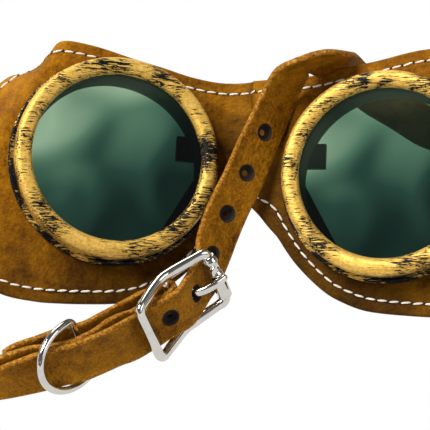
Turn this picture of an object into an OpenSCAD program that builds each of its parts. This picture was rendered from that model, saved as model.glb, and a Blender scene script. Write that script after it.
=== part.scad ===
// Goggles with two round screw-ring lens cups on a leather mask, and a buckled strap.
// The pair stands on a table as put down: the mask leans back, the strap stands on its edge.
// X runs to the right of the pair as seen from the front, Y to the back, Z up.

/* [Lens] */
// Diameter of each lens
lens_d = 50; // [44:1:56]
// Thickness of each lens
lens_t = 2; // [1.5:0.1:3]
// Gap round and over a lens in its seat
lens_gap = 0.1; // [0.05:0.05:0.2]
// Thickness of the gasket under a lens
gasket_t = 0.8; // [0.5:0.1:1.2]

/* [Eyecup] */
// Wall round the lens seat, which carries the thread
seat_wall = 1.1; // [0.9:0.1:1.6]
// Width of the shelf that the gasket lies on
shelf_w = 1.4; // [1:0.1:2]
// Height of the shelf over the front of the leather
shelf_up = 2.9; // [2.4:0.1:3.4]
// Depth of the skirt behind the front of the leather
skirt_depth = 12; // [10:0.5:16]
// Flare of the skirt at its rear edge
skirt_flare = 1.2; // [0.4:0.1:2]
// Overhang of the flange behind the leather
flange_over = 3.2; // [2:0.1:4]
// Thickness of the flange
flange_t = 1.6; // [1.2:0.1:2.4]
// Reach of the small tab at the nose side of the rear opening
tab_reach = 4.6; // [3:0.1:6]
// Height of that tab
tab_h = 7; // [5:0.5:10]
// Distance from the cup's axis to the flat of the rear opening
flat_at = 21.7; // [20:0.1:23]

/* [Bezel and collar] */
// Height of the collar
collar_h = 2.1; // [1.6:0.1:2.6]
// Reach of the collar past the eyecup's barrel
collar_over = 2.9; // [2.2:0.1:3.6]
// Gap between collar and bezel
ring_gap = 0.35; // [0.3:0.05:0.6]
// Wall of the bezel round the thread
bezel_wall = 1.8; // [1.4:0.1:2.4]
// Thickness of the lip over the lens
lip_t = 1.9; // [1.4:0.1:2.4]
// How far the lip covers the lens
lip_over = 1; // [0.6:0.1:1.6]
// Clearance of the screw thread, drawn as plain cylinders
thread_gap = 0.08; // [0.05:0.01:0.1]

/* [Leather] */
// Thickness of the outer leather
leather_t = 2; // [1.6:0.1:2.6]
// Thickness of the lining
lining_t = 1; // [0.8:0.1:1.4]
// Gap between leather layers that lie on each other
layer_gap = 0.15; // [0.1:0.05:0.3]
// Gap between the outer leather and the lining
lining_gap = 0.45; // [0.3:0.05:0.6]
// How far the lining stays inside the leather's edge
lining_in = 0.6; // [0.2:0.1:1.2]

/* [Strap] */
// Width of the strap
strap_w = 12; // [10:0.5:14]
// Thickness of the strap
strap_t = 1.6; // [1.4:0.1:1.8]
// Diameter of a punched hole
hole_d = 4; // [3.4:0.1:4.6]
// Distance between punched holes
hole_pitch = 12.5; // [10:0.5:14]

/* [Buckle] */
// Clear width between the rails
buckle_in = 14.2; // [14:0.2:18]
// From the centre bar to the left bar
left_reach = 12; // [11.5:0.5:14]
// From the centre bar to the roller bar
roller_reach = 13.3; // [13:0.1:16]
// Height of the end bars over the centre bar
bar_rise = 3.5; // [3.3:0.1:4.5]
// Width of a rail
rail_w = 2.2; // [1.8:0.1:2.6]
// Thickness of a rail
rail_t = 2.4; // [1.8:0.1:2.8]
// Diameter of the left bar
left_bar_d = 2.6; // [2.2:0.1:3]
// Diameter of the centre bar and of the roller's bar
bar_d = 2.2; // [1.8:0.1:2.4]
// Outer diameter of the roller
roller_d = 4; // [3.6:0.1:4.2]
// Clearance of the roller and of the prong's eye on their bars
pin_gap = 0.08; // [0.05:0.01:0.1]
// Diameter of the prong's wire
prong_d = 2; // [1.6:0.1:2.2]
// Wall of the prong's eye
eye_wall = 1.2; // [1:0.1:1.4]

/* [Keeper ring] */
// Height of the ring, centre to centre of its wire
ring_h = 18; // [17:0.2:21]
// Reach of the bow in front of the ring's middle
ring_bow = 11.6; // [10.6:0.2:13]
// Reach of the straight bar behind the ring's middle
ring_back = 4.3; // [4:0.1:6]
// Diameter of the ring's wire
ring_d = 2; // [1.8:0.1:2.2]

/* [Rivets] */
// Diameter of a rivet's head
rivet_d = 7; // [6:0.2:8]
// Thickness of a rivet's head
rivet_t = 0.9; // [0.7:0.1:1.1]
// Diameter of a rivet's post
post_d = 3; // [2.4:0.1:3.4]

/* [Hidden] */
fine = 96;

// Brings the middle of the base to the origin
origin_shift = [9.05, 5.5, 0];
module placed() {
    translate(origin_shift) children();
}

// How each lens cup stands: the middle of its leather face, turn, lean and roll
LEFT = 0;
RIGHT = 1;
cup_at = [[-37.5, 10.5, 29.7], [37.1, 0.5, 31.2]];
cup_turn = [17.1, -19.6];
cup_lean = [44.4, 43.3];
cup_roll = [-14.8, 11.35];
side = [-1, 1];
drop = [-1.2, 1.2];

// Radii and heights of the lens cup, measured from the front of the leather
lens_r = lens_d / 2;
seat_r = lens_r + lens_gap;
barrel_r = seat_r + seat_wall;
shelf_r = seat_r - shelf_w;
lens_up = shelf_up + gasket_t + 0.05;
barrel_up = lens_up + lens_t - 0.25;
lip_up = lens_up + lens_t + 0.07;
bezel_top = lip_up + lip_t;
bezel_r = barrel_r + thread_gap + bezel_wall;
collar_r = barrel_r + 0.1 + collar_over;
stack_t = leather_t + lining_gap + lining_t;
flange_up = -stack_t - 0.12;
hole_r = barrel_r + 0.2;

// The mask as it is cut flat: u runs from the middle of a lens to its temple, v runs up
mid_u = 38.5;
nose_u = 29.5;
nose_r = 39;
wing_from = [16, 34];
wing_along = [0.476, -0.879];
wing_out = [0.879, 0.476];
outline = [[-38.5, 27.4], [-28.5, 27.2], [-20.5, 28], [-12.5, 29.8], [-4, 31.5], [4, 33.4], [10, 34.4],
    [16, 34.7], [24, 33.6], [31, 31.4], [38, 27.8], [46, 21.8], [53, 14.5], [59, 9.2], [66, 7.4],
    [71.5, 6.2], [73.8, 2.8], [74, -2], [72.2, -6.2], [66, -8.8], [60, -11.6], [53, -18], [46, -26],
    [38, -33], [28.5, -37.7], [19.3, -39.1], [12, -39.1], [6, -38.8], [-1.3, -38.2], [-6.9, -37.2],
    [-12.7, -34.9], [-16.8, -32.5], [-21.7, -28.2], [-26.2, -23.2], [-30.9, -16.2], [-34.2, -10.4],
    [-38.5, -7.2]];
lap_v = -1;
lap_from = 55;
rivet_u = [59.3, 67.3];

function unit(p) = p / norm(p);
function dot2(a, b) = a.x * b.x + a.y * b.y;
function clamp01(t) = min(1, max(0, t));
function ease(t) = let (k = clamp01(t)) k * k * (3 - 2 * k);
function turn_x(p, a) = [p.x, p.y * cos(a) - p.z * sin(a), p.y * sin(a) + p.z * cos(a)];
function turn_y(p, a) = [p.x * cos(a) + p.z * sin(a), p.y, p.z * cos(a) - p.x * sin(a)];
function turn_z(p, a) = [p.x * cos(a) - p.y * sin(a), p.x * sin(a) + p.y * cos(a), p.z];
function to_cup(h, p) =
    cup_at[h] + turn_z(turn_x(turn_z(p, cup_roll[h]), 90 - cup_lean[h]), cup_turn[h]);

// A smooth curve through a list of points of any length
function between(a, b, c, d, t) =
    0.5 * (2 * b + (c - a) * t + (2 * a - 5 * b + 4 * c - d) * t * t + (3 * b - a - 3 * c + d) * t * t * t);
function smooth(p, n) = let (m = len(p) - 1) [
    for (i = [0 : m - 1], k = [0 : n - 1])
        between(p[max(i - 1, 0)], p[i], p[i + 1], p[min(i + 2, m)], k / n),
    p[m]];

// The bend of the leather: forward at the nose, back at the temple
function wing_q(p) = dot2(p - wing_from, wing_out);
function wing_s(p) = dot2(p - wing_from, wing_along);
function bend_r(s) = max(3.6, 3.8 + 0.18 * s);
function bend_a(s) = 100 - 0.5 * s;
function bent(p) =
    p.x < -nose_u ? let (a = (-nose_u - p.x) / nose_r * 180 / PI)
        [-nose_u - nose_r * sin(a), p.y, nose_r * (1 - cos(a))]
    : wing_q(p) <= 0 ? [p.x, p.y, 0]
    : let (q = wing_q(p), s = wing_s(p), r = bend_r(s), a = min(q / r * 180 / PI, bend_a(s)),
           left = q - r * a * PI / 180, go = r * sin(a) + left * cos(a),
           at = wing_from + s * wing_along + go * wing_out)
        [at.x, at.y, -(r * (1 - cos(a)) + left * sin(a))];
function half(h, p) = let (b = bent(p)) to_cup(h, [side[h] * b.x, b.y + drop[h], b.z]);
function nose_line(v) = (half(LEFT, [-mid_u, v]) + half(RIGHT, [-mid_u, v])) / 2;
function front(h, p) = p.x >= -nose_u ? half(h, p)
    : let (k = ease((-nose_u - p.x) / (mid_u - nose_u))) half(h, p) * (1 - k) + nose_line(p.y) * k;
function along_u(h, p) = unit(front(h, p + [0.2, 0]) - front(h, p - [0.2, 0]));
function along_v(h, p) = unit(front(h, p + [0, 0.2]) - front(h, p - [0, 0.2]));
function out_of(h, p) = unit(cross(along_u(h, p), along_v(h, p))) * side[h];
function skin(h, p, deep) = p.x > -mid_u + 0.01 ? front(h, p) - deep * out_of(h, p)
    : nose_line(p.y) - deep * unit(out_of(LEFT, p) + out_of(RIGHT, p));

// Rays from the middle of a cup to the edge, and the steps along each
nose_steps = 7;
function edge(inset, n) = let (c = smooth(outline, n), m = len(c) - 1) concat(
    [for (i = [0 : m]) i == 0 || i == m ? c[i] + [0, i == 0 ? -inset : inset]
        : let (d = unit(c[i + 1] - c[i - 1])) c[i] + inset * [d.y, -d.x]],
    [for (k = [1 : nose_steps - 1])
        [-mid_u, outline[len(outline) - 1].y + inset
            + (outline[0].y - outline[len(outline) - 1].y - 2 * inset) * k / nose_steps]]);
rings = 7;
function step_r(h, e, j) =
    let (c = [0, -drop[h]], far = norm(e - c), dir = (e - c) / far, lean = dot2(dir, wing_out),
         q = wing_q(e), even = hole_r - 1.4 + (far - hole_r + 1.4) * j / rings)
    q < 4 ? even
    : let (q0 = wing_q(c), r0 = -q0 / lean, s0 = wing_s(c + r0 * dir),
           bend = min(bend_r(s0) * bend_a(s0) * PI / 180, 0.8 * q) / lean,
           aligned = j == 0 ? hole_r - 1.4 : j < 6 ? r0 + bend * (j - 1) / 4
               : j == 6 ? (r0 + bend + far) / 2 : far)
        even + (aligned - even) * ease((q - 4) / 8);
function grid(h, inset, n, deep) = let (e = edge(inset, n), c = [0, -drop[h]])
    [for (p = e, j = [0 : rings]) let (d = unit(p - c), at = j == rings ? p : c + d * step_r(h, p, j))
        skin(h, at, deep)];

// One layer of leather as a closed shell, both halves sewn along the nose
module layer(near, far, inset, n) {
    m = len(edge(inset, n));
    w = rings + 1;
    solid = concat(grid(LEFT, inset, n, near), grid(LEFT, inset, n, far),
        grid(RIGHT, inset, n, near), grid(RIGHT, inset, n, far));
    first = len(smooth(outline, n)) - 1;
    // On the nose line the right half uses the left half's points
    function at(h, b, i, j) = let (k = i % m)
        (j == rings && (k >= first || k == 0) ? 0 : 2 * m * w * h) + m * w * b + k * w + j;
    on_nose = function (i) (i % m) >= first;
    faces = [for (h = [0, 1], i = [0 : m - 1]) let (f = h == 1) each concat(
        [for (j = [0 : rings - 1]) each [
            f ? [at(h, 0, i, j), at(h, 0, i, j + 1), at(h, 0, i + 1, j + 1)]
              : [at(h, 0, i + 1, j + 1), at(h, 0, i, j + 1), at(h, 0, i, j)],
            f ? [at(h, 0, i, j), at(h, 0, i + 1, j + 1), at(h, 0, i + 1, j)]
              : [at(h, 0, i + 1, j), at(h, 0, i + 1, j + 1), at(h, 0, i, j)],
            f ? [at(h, 1, i + 1, j + 1), at(h, 1, i, j + 1), at(h, 1, i, j)]
              : [at(h, 1, i, j), at(h, 1, i, j + 1), at(h, 1, i + 1, j + 1)],
            f ? [at(h, 1, i + 1, j), at(h, 1, i + 1, j + 1), at(h, 1, i, j)]
              : [at(h, 1, i, j), at(h, 1, i + 1, j + 1), at(h, 1, i + 1, j)]]],
        [for (t = [0, 1]) if (t == 0 || !on_nose(i)) let (j = t * rings, g = (t == 0) == f) each [
            g ? [at(h, 0, i, j), at(h, 0, i + 1, j), at(h, 1, i + 1, j)]
              : [at(h, 1, i + 1, j), at(h, 0, i + 1, j), at(h, 0, i, j)],
            g ? [at(h, 0, i, j), at(h, 1, i + 1, j), at(h, 1, i, j)]
              : [at(h, 1, i, j), at(h, 1, i + 1, j), at(h, 0, i, j)]]])];
    polyhedron(solid, faces, convexity = 10);
}

module on_cup(h) {
    translate(cup_at[h]) rotate([0, 0, cup_turn[h]]) rotate([90 - cup_lean[h], 0, 0])
        rotate([0, 0, cup_roll[h]]) children();
}

// Puts its children on the outside of the wing at u, with Z out of the leather
module on_wing(h, u) {
    p = [u, lap_v];
    o = front(h, p);
    z = out_of(h, p);
    y = along_v(h, p);
    x = cross(y, z);
    multmatrix([[x.x, y.x, z.x, o.x], [x.y, y.y, z.y, o.y], [x.z, y.z, z.z, o.z], [0, 0, 0, 1]])
        children();
}

module layer_with_holes(near, far, inset, n) {
    difference() {
        layer(near, far, inset, n);
        for (h = [LEFT, RIGHT]) {
            on_cup(h) translate([0, 0, -stack_t - 2]) cylinder(r = hole_r, h = stack_t + 4, $fn = fine);
            for (u = rivet_u) on_wing(h, u)
                translate([0, 0, -8]) cylinder(d = post_d + 0.1, h = 12, $fn = 32);
        }
    }
}

module mask_leather() {
    color("saddlebrown") layer_with_holes(0, leather_t, 0, 2);
}

module mask_lining() {
    color("sienna") layer_with_holes(leather_t + lining_gap, stack_t, lining_in, 2);
}

// Eyecup: threaded barrel, lens seat, flange behind the leather and skirt
module eyecup(h) {
    rear = -skirt_depth;
    nose = -side[h];
    color("dimgray") on_cup(h) {
        rotate_extrude($fn = fine) polygon([[shelf_r, shelf_up], [seat_r, shelf_up],
            [seat_r, barrel_up], [barrel_r - 0.25, barrel_up], [barrel_r, barrel_up - 0.25],
            [barrel_r, flange_up], [barrel_r + flange_over - 0.3, flange_up],
            [barrel_r + flange_over, flange_up - 0.3], [barrel_r + flange_over, flange_up - flange_t],
            [barrel_r, flange_up - flange_t - 0.4], [barrel_r, flange_up - flange_t - 1.2],
            [barrel_r + skirt_flare, rear + 0.6], [barrel_r + skirt_flare - 0.6, rear],
            [shelf_r + skirt_flare, rear], [shelf_r, flange_up - flange_t - 1.2]]);
        // Flat of the rear opening, and the small tab above it
        intersection() {
            rotate_extrude($fn = fine) polygon([[2, rear], [shelf_r + skirt_flare + 0.5, rear],
                [shelf_r + skirt_flare + 0.3, rear + 2], [2, rear + 2]]);
            union() {
                rotate([0, 0, nose > 0 ? -29 : 209]) translate([flat_at, -20, rear])
                    cube([10, 40, 2]);
                translate([nose > 0 ? shelf_r - tab_reach : -30, 4.7, rear])
                    cube([30 - shelf_r + tab_reach, tab_h, 2]);
            }
        }
    }
}

module collar(h) {
    low = 0.05;
    mid = collar_h * 0.55;
    color("goldenrod") on_cup(h) rotate_extrude($fn = fine) polygon([[barrel_r + 0.1, low],
        [collar_r - 0.1, low], [collar_r, low + 0.15], [collar_r, mid - 0.2], [collar_r - 0.25, mid],
        [collar_r - 1, mid], [collar_r - 1, mid + 0.3], [collar_r - 0.5, mid + 0.3],
        [collar_r - 0.3, mid + 0.45], [collar_r - 0.3, collar_h - 0.2], [collar_r - 0.5, collar_h],
        [barrel_r + 0.1, collar_h]]);
}

module gasket(h) {
    color("black") on_cup(h) translate([0, 0, shelf_up]) difference() {
        cylinder(r = seat_r - 0.05, h = gasket_t, $fn = fine);
        translate([0, 0, -1]) cylinder(r = shelf_r, h = gasket_t + 2, $fn = fine);
    }
}

module lens(h) {
    color("darkseagreen") on_cup(h) rotate_extrude($fn = fine) polygon([[0, lens_up],
        [lens_r - 0.25, lens_up], [lens_r, lens_up + 0.25], [lens_r, lens_up + lens_t - 0.25],
        [lens_r - 0.25, lens_up + lens_t], [0, lens_up + lens_t]]);
}

module bezel(h) {
    low = collar_h + ring_gap;
    bore = barrel_r + thread_gap;
    eye = lens_r - lip_over;
    wide = bezel_r - eye;
    color("gold") on_cup(h) rotate_extrude($fn = fine) polygon(concat(
        [[bore, lip_up], [bore, low], [bezel_r - 0.2, low], [bezel_r, low + 0.2]],
        [for (a = [0 : 12 : 180])
            [eye + wide / 2 + wide / 2 * cos(a), bezel_top - lip_t + 0.3 + (lip_t - 0.3) * sin(a)]],
        [[eye, lip_up]]));
}

// Where the buckle stands: its centre bar, X to the roller, Y up its width, Z out
buckle_at = [-20.5, -30.6, 11.8];
buckle_turn = [75.8, -13.8, 46];
strap_lift = -0.2;
function to_buckle(p) =
    buckle_at + turn_z(turn_y(turn_x(p, buckle_turn.x), buckle_turn.y), buckle_turn.z);
buckle_y = to_buckle([0, 1, 0]) - buckle_at;
function in_buckle(x, z) = concat(to_buckle([x, strap_lift, z]), buckle_y, [1]);

// A strap is a list of stations: middle, direction of its width, share of its full width
function lap(h, u) = let (p = [u, lap_v])
    concat(front(h, p) + out_of(h, p) * (layer_gap + strap_t / 2), along_v(h, p), [1]);
tail_z = 9.1;
hole_side = [lap(RIGHT, lap_from), lap(RIGHT, lap_from + 6.5), lap(RIGHT, lap_from + 13),
    lap(RIGHT, lap_from + 19.5),
    [107, 4, 14.4, -0.3, 0.85, 0.45, 1], [111, 10.5, 11, -0.3, 0.4, 0.85, 1],
    [112, 20, 8, -0.1, 0.1, 1, 1], [108.5, 31, 6.4, 0, 0, 1, 1], [100.5, 41.5, 6.12, 0, 0, 1, 1],
    [89.5, 49, 6.2, 0, 0, 1, 1], [77.5, 52.5, 7.5, 0, 0, 1, 1],
    [66, 52, 11, 0, 0, 1, 1], [54.7, 49, 17, 0, 0.1, 1, 1], [45, 44.5, 26, 0, 0.2, 1, 1],
    [37, 40, 35, -0.05, 0.1, 1, 1], [31.5, 35, 43, -0.1, -0.2, 1, 1],
    [28, 30, 49.3, -0.18, -0.55, 0.8, 1], [23.5, 24.4, 53.8, -0.25, -0.76, 0.6, 1],
    [18.8, 20.4, 55.9, -0.33, -0.72, 0.62, 1], [14.4, 18.7, 54.9, -0.43, -0.62, 0.65, 1],
    [11.12, 19.13, 52, -0.55, -0.38, 0.75, 1],
    [7.86, 17.81, 46, -0.72, -0.35, 0.60, 1], [4.78, 13.72, 40.15, -0.75, -0.18, 0.64, 1],
    [1.31, 7.92, 34.85, -0.85, -0.22, 0.46, 1], [-2.14, 2.0, 29.1, -0.86, -0.14, 0.48, 1],
    [-4.74, -1.86, 25.6, -0.84, -0.14, 0.51, 1], [-7.73, -7.04, 21, -0.83, -0.13, 0.54, 1],
    [-10.2, -13.4, 16.6, -0.70, -0.1, 0.70, 1],
    in_buckle(13.3, -0.3), in_buckle(9.6, 0.9), in_buckle(5.6, 2.4),
    in_buckle(0, 4.05), in_buckle(-6, 2.1), in_buckle(-12, 0.45),
    [-33.15, -44.7, 9.9, -0.30, -0.04, 0.95, 1], [-38.2, -47.9, 9.4, -0.29, -0.05, 0.95, 1],
    [-44.18, -51.65, tail_z, -0.27, -0.05, 0.96, 1], [-48.6, -53.3, tail_z, -0.26, -0.05, 0.96, 1],
    [-54.3, -55.5, 8.9, -0.2, -0.03, 0.97, 0.98], [-61, -58.0, 8.4, -0.12, 0, 0.99, 0.86],
    [-67, -60.2, 8.1, -0.06, 0, 1, 0.7], [-72, -61.9, 8, 0, 0, 1, 0.48],
    [-75.5, -63.1, 8, 0, 0, 1, 0.28], [-77.5, -63.8, 8, 0, 0, 1, 0.12]];
prong_station = 30;
// The holes were punched by hand, so they stand a little off the even pitch
hole_shift = [-2.5, -2.5, -2.5, -2.5, 0, -2.4];
buckle_side = [lap(LEFT, lap_from), lap(LEFT, lap_from + 6.5), lap(LEFT, lap_from + 13),
    lap(LEFT, lap_from + 19.5),
    [-107.5, 16, 13.5, 0.33, 0.85, 0.35, 1], [-113, 16.4, 10.2, 0.28, 0.6, 0.72, 1],
    [-119.5, 14, 7.7, 0.12, 0.2, 0.97, 1], [-126, 8, 6.35, 0, 0, 1, 1], [-130, -1, 6.04, 0, 0, 1, 1],
    [-131, -13, 6, 0, 0, 1, 1], [-127, -27, 6, 0, 0, 1, 1], [-117.5, -39.5, 6.04, 0, 0, 1, 1],
    [-104, -50, 6.5, 0, 0, 1, 1], [-90, -56.5, 7.2, 0, 0, 1, 1], [-77, -58.8, 8, 0, 0, 1, 1],
    [-66.1, -57.3, 8.6, -0.05, 0, 1, 1], [-59.8, -54.95, 9, -0.15, 0, 0.98, 1],
    [-54.7, -52.6, 9, -0.24, -0.03, 0.97, 1], [-49.3, -51.5, 9, -0.28, -0.05, 0.96, 1],
    [-43.9, -49.5, 9.1, -0.28, -0.05, 0.96, 1], [-39.2, -45.9, 9.2, -0.28, -0.05, 0.96, 1],
    [-35.3, -41.4, 9.1, -0.28, -0.02, 0.96, 1], in_buckle(-12, -2.9), in_buckle(-7.5, -1.0), in_buckle(-3.4, 1.3),
    in_buckle(-1, 2.0), in_buckle(1.25, 1.65), in_buckle(2.1, 0), in_buckle(1.25, -1.75),
    in_buckle(-1.2, -2.7), in_buckle(-4, -5.4), [-31.2, -33.4, 9.3, -0.28, 0, 0.96, 1],
    [-38, -39.5, 9.2, -0.28, 0, 0.96, 1], [-41.9, -42.7, 9.1, -0.28, 0, 0.96, 1],
    [-47.9, -45.3, 9, -0.26, 0, 0.96, 1], [-54, -48.8, 9, -0.22, 0, 0.97, 1],
    [-59.5, -51.9, 9, -0.16, 0, 0.98, 1], [-62.3, -53.4, 8.9, -0.12, 0, 0.98, 0.86]];
steps = 3;

function middle(s) = [s[0], s[1], s[2]];
function width(s) = [s[3], s[4], s[5]];
function heading(p, i) = unit(middle(p[min(i + 1, len(p) - 1)]) - middle(p[max(i - 1, 0)]));
function outward(p, i) = unit(cross(heading(p, i), width(p[i])));
function upward(p, i) = cross(outward(p, i), heading(p, i));

module ribbon(p) {
    a = strap_w / 2;
    b = strap_t / 2;
    c = 0.25;
    m = len(p);
    points = [for (i = [0 : m - 1]) let (o = middle(p[i]), n = outward(p, i), w = upward(p, i) * p[i][6])
        each [for (q = [[-a + c, -b], [a - c, -b], [a, -b + c], [a, b - c], [a - c, b], [-a + c, b],
            [-a, b - c], [-a, -b + c]]) o + w * q.x + n * q.y]];
    polyhedron(points, concat([[for (k = [0 : 7]) k]], [[for (k = [7 : -1 : 0]) (m - 1) * 8 + k]],
        [for (i = [0 : m - 2], k = [0 : 7]) let (n = (k + 1) % 8) each [
            [i * 8 + n, i * 8 + k, i * 8 + 8 + k], [i * 8 + n, i * 8 + 8 + k, i * 8 + 8 + n]]]),
        convexity = 12);
}

// Puts its children at a place along a strap, with Z through it and X along it
module at_place(p, i, t) {
    o = middle(p[i]) * (1 - t) + middle(p[min(i + 1, len(p) - 1)]) * t;
    x = heading(p, i);
    z = outward(p, i);
    y = cross(z, x);
    multmatrix([[x.x, y.x, z.x, o.x], [x.y, y.y, z.y, o.y], [x.z, y.z, z.z, o.z], [0, 0, 0, 1]])
        children();
}
function lengths(p, i = 0, sum = 0) = i == len(p) ? []
    : let (s = i == 0 ? 0 : sum + norm(middle(p[i]) - middle(p[i - 1]))) concat([s], lengths(p, i + 1, s));

module strap_hole_side() {
    p = smooth(hole_side, steps);
    l = lengths(p);
    color("peru") difference() {
        ribbon(p);
        for (k = [-4 : 1]) {
            s = l[prong_station * steps] + k * hole_pitch + hole_shift[k + 4];
            i = [for (n = [0 : len(l) - 2]) if (l[n] <= s && l[n + 1] > s) n][0];
            at_place(p, i, (s - l[i]) / (l[i + 1] - l[i]))
                translate([0, 0, -strap_t]) cylinder(d = hole_d, h = 2 * strap_t, $fn = 32);
        }
        for (u = rivet_u) on_wing(RIGHT, u)
            translate([0, 0, -1]) cylinder(d = post_d + 0.1, h = 6, $fn = 32);
    }
}

fold_at = [16 * steps + 1, 20 * steps + 1];
// How deep the two leather layers are at each of these rivets
fold_deep = [3.65, 5.3];
module on_fold(k) {
    p = smooth(buckle_side, steps);
    at_place(p, fold_at[k], 0) children();
}

module strap_buckle_side() {
    p = smooth(buckle_side, steps);
    color("peru") difference() {
        ribbon(p);
        // Slot for the prong, round the centre bar
        translate(buckle_at) rotate(buckle_turn) translate([-4.5, -prong_d / 2 - 0.5, -5])
            cube([9, prong_d + 1, 10]);
        for (u = rivet_u) on_wing(LEFT, u)
            translate([0, 0, -1]) cylinder(d = post_d + 0.1, h = 6, $fn = 32);
        for (k = [0, 1]) on_fold(k) translate([0, 0, -15]) cylinder(d = post_d + 0.1, h = 30, $fn = 32);
    }
}

module on_buckle() {
    translate(buckle_at) rotate(buckle_turn) children();
}

module bar(x, z, d, h) {
    translate([x, h / 2, z]) rotate([90, 0, 0]) cylinder(d = d, h = h, $fn = 48);
}

module rail() {
    far = roller_reach;
    module arm(from, to) {
        d = unit(to - from);
        n = [-d.y, d.x] * rail_t / 2;
        polygon([from - n, to - n, to + n, from + n]);
    }
    rotate([90, 0, 0]) linear_extrude(rail_w) {
        arm([-left_reach, bar_rise], [0, 0]);
        arm([0, 0], [far, bar_rise]);
        translate([-left_reach, bar_rise]) circle(d = left_bar_d + 0.4, $fn = 48);
        circle(d = rail_t + 0.5, $fn = 48);
        translate([far, bar_rise]) circle(d = rail_t + 0.6, $fn = 48);
    }
}

module buckle_frame() {
    wide = buckle_in + 2;
    color("silver") on_buckle() {
        translate([0, -buckle_in / 2, 0]) rail();
        translate([0, buckle_in / 2 + rail_w, 0]) rail();
        bar(-left_reach, bar_rise, left_bar_d, wide);
        bar(0, 0, bar_d, wide);
        bar(roller_reach, bar_rise, bar_d, wide);
    }
}

module buckle_roller() {
    long = buckle_in - 0.4;
    color("lightgray") on_buckle() difference() {
        bar(roller_reach, bar_rise, roller_d, long);
        bar(roller_reach, bar_rise, bar_d + 2 * pin_gap, long + 2);
    }
}

module buckle_prong() {
    r = prong_d / 2;
    over = bar_rise + roller_d / 2 + r + 0.15;
    path = smooth([[1.4, -0.4], [3.5, 0.3], [5, 2], [6.4, 3.9], [9, over - 0.8],
        [roller_reach - 1.2, over - 0.05], [roller_reach + 1, over]], 4);
    m = len(path) - 1;
    color("gainsboro") on_buckle() difference() {
        union() {
            bar(0, 0, bar_d + 2 * pin_gap + 2 * eye_wall, prong_d);
            tube([for (q = path) [q.x, 0, q.y]], [0, 1, 0],
                [for (i = [0 : m]) i == m ? 0.45 * r : i == m - 1 ? 0.86 * r : r], false);
        }
        bar(0, 0, bar_d + 2 * pin_gap, prong_d + 3);
    }
}

// Wire along a flat path, with a radius at each point
module tube(p, across, r, closed) {
    m = len(p);
    s = 12;
    points = [for (i = [0 : m - 1])
        let (t = unit(closed ? p[(i + 1) % m] - p[(i + m - 1) % m]
                : p[min(i + 1, m - 1)] - p[max(i - 1, 0)]), out = unit(cross(t, across)))
            each [for (j = [0 : s - 1])
                p[i] + r[i] * (out * cos(360 * j / s) + across * sin(360 * j / s))]];
    ends = closed ? [] : [[for (j = [s - 1 : -1 : 0]) j], [for (j = [0 : s - 1]) (m - 1) * s + j]];
    polyhedron(points, concat(ends, [for (i = [0 : closed ? m - 1 : m - 2], j = [0 : s - 1])
        let (u = (i + 1) % m, v = (j + 1) % s) each [
            [i * s + j, i * s + v, u * s + v], [i * s + j, u * s + v, u * s + j]]]), convexity = 6);
}

// Keeper ring: a D whose bar lies between the two layers of the fold
ring_at = [-45.86, -49.27, 9.62];
ring_out = unit([0.574, 0.819, 0]);
ring_up = unit([-0.28, 0, 0.96]);
module keeper_ring() {
    a = ring_bow;
    b = ring_h / 2;
    k = 1.9;
    arm = ring_back - k;
    lift = b * sqrt(1 - pow(arm / a, 2));
    n = 36;
    bow0 = acos(arm / a);
    flat = concat(
        [for (i = [0 : n]) let (t = bow0 + (360 - 2 * bow0) * i / n) [a * cos(t), b * sin(t)]],
        [for (i = [1 : 4]) [arm + k * sin(90 * i / 4), -lift + k * (1 - cos(90 * i / 4))]],
        [for (i = [1 : 3]) [ring_back, -lift + k + 2 * (lift - k) * i / 4]],
        [for (i = [0 : 3]) [arm + k * cos(90 * i / 4), lift - k + k * sin(90 * i / 4)]]);
    color("silver") tube([for (q = flat) ring_at + q.x * ring_out + q.y * ring_up],
        unit(cross(ring_out, ring_up)), [for (q = flat) ring_d / 2], true);
}

// A rivet: domed head in front, post, and a flat cap behind
module rivet(top, bottom, head = rivet_t, cap_d = rivet_d) {
    rotate_extrude($fn = 48) polygon([[0, bottom - 0.6], [cap_d / 2 - 0.2, bottom - 0.6],
        [cap_d / 2, bottom - 0.4], [cap_d / 2, bottom], [post_d / 2, bottom], [post_d / 2, top],
        [rivet_d / 2, top], [rivet_d / 2, top + head * 0.3], [rivet_d * 0.4, top + head * 0.7],
        [rivet_d * 0.25, top + head * 0.93], [0, top + head]]);
}

module wing_rivets(h) {
    color("darkgoldenrod") for (u = rivet_u) on_wing(h, u)
        rivet(layer_gap + strap_t + 0.25, -stack_t - 0.05);
}

// The fold's rivets are hammered flat, so that the tail slides over them
flat_head = 0.4;
module fold_rivets() {
    color("darkgoldenrod") for (k = [0, 1]) on_fold(k)
        rivet(strap_t / 2 + 0.1, -fold_deep[k], flat_head, 4.6);
}

placed() mask_leather();
placed() mask_lining();
placed() eyecup(LEFT);  // left_eyecup
placed() eyecup(RIGHT);  // right_eyecup
placed() collar(LEFT);  // left_collar
placed() collar(RIGHT);  // right_collar
placed() gasket(LEFT);  // left_gasket
placed() gasket(RIGHT);  // right_gasket
placed() lens(LEFT);  // left_lens
placed() lens(RIGHT);  // right_lens
placed() bezel(LEFT);  // left_bezel
placed() bezel(RIGHT);  // right_bezel
placed() strap_buckle_side();
placed() strap_hole_side();
placed() buckle_frame();
placed() buckle_prong();
placed() buckle_roller();
placed() keeper_ring();
placed() fold_rivets();
placed() wing_rivets(LEFT);  // left_wing_rivets
placed() wing_rivets(RIGHT);  // right_wing_rivets
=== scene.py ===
"""Dresses the leather goggles: oiled leather, sewn edges, rubbed gold rings, green glass, nickel buckle."""
import math

import bmesh
import bpy
import numpy as np
from mathutils import Matrix, Vector
from mathutils import noise as mnoise


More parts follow.
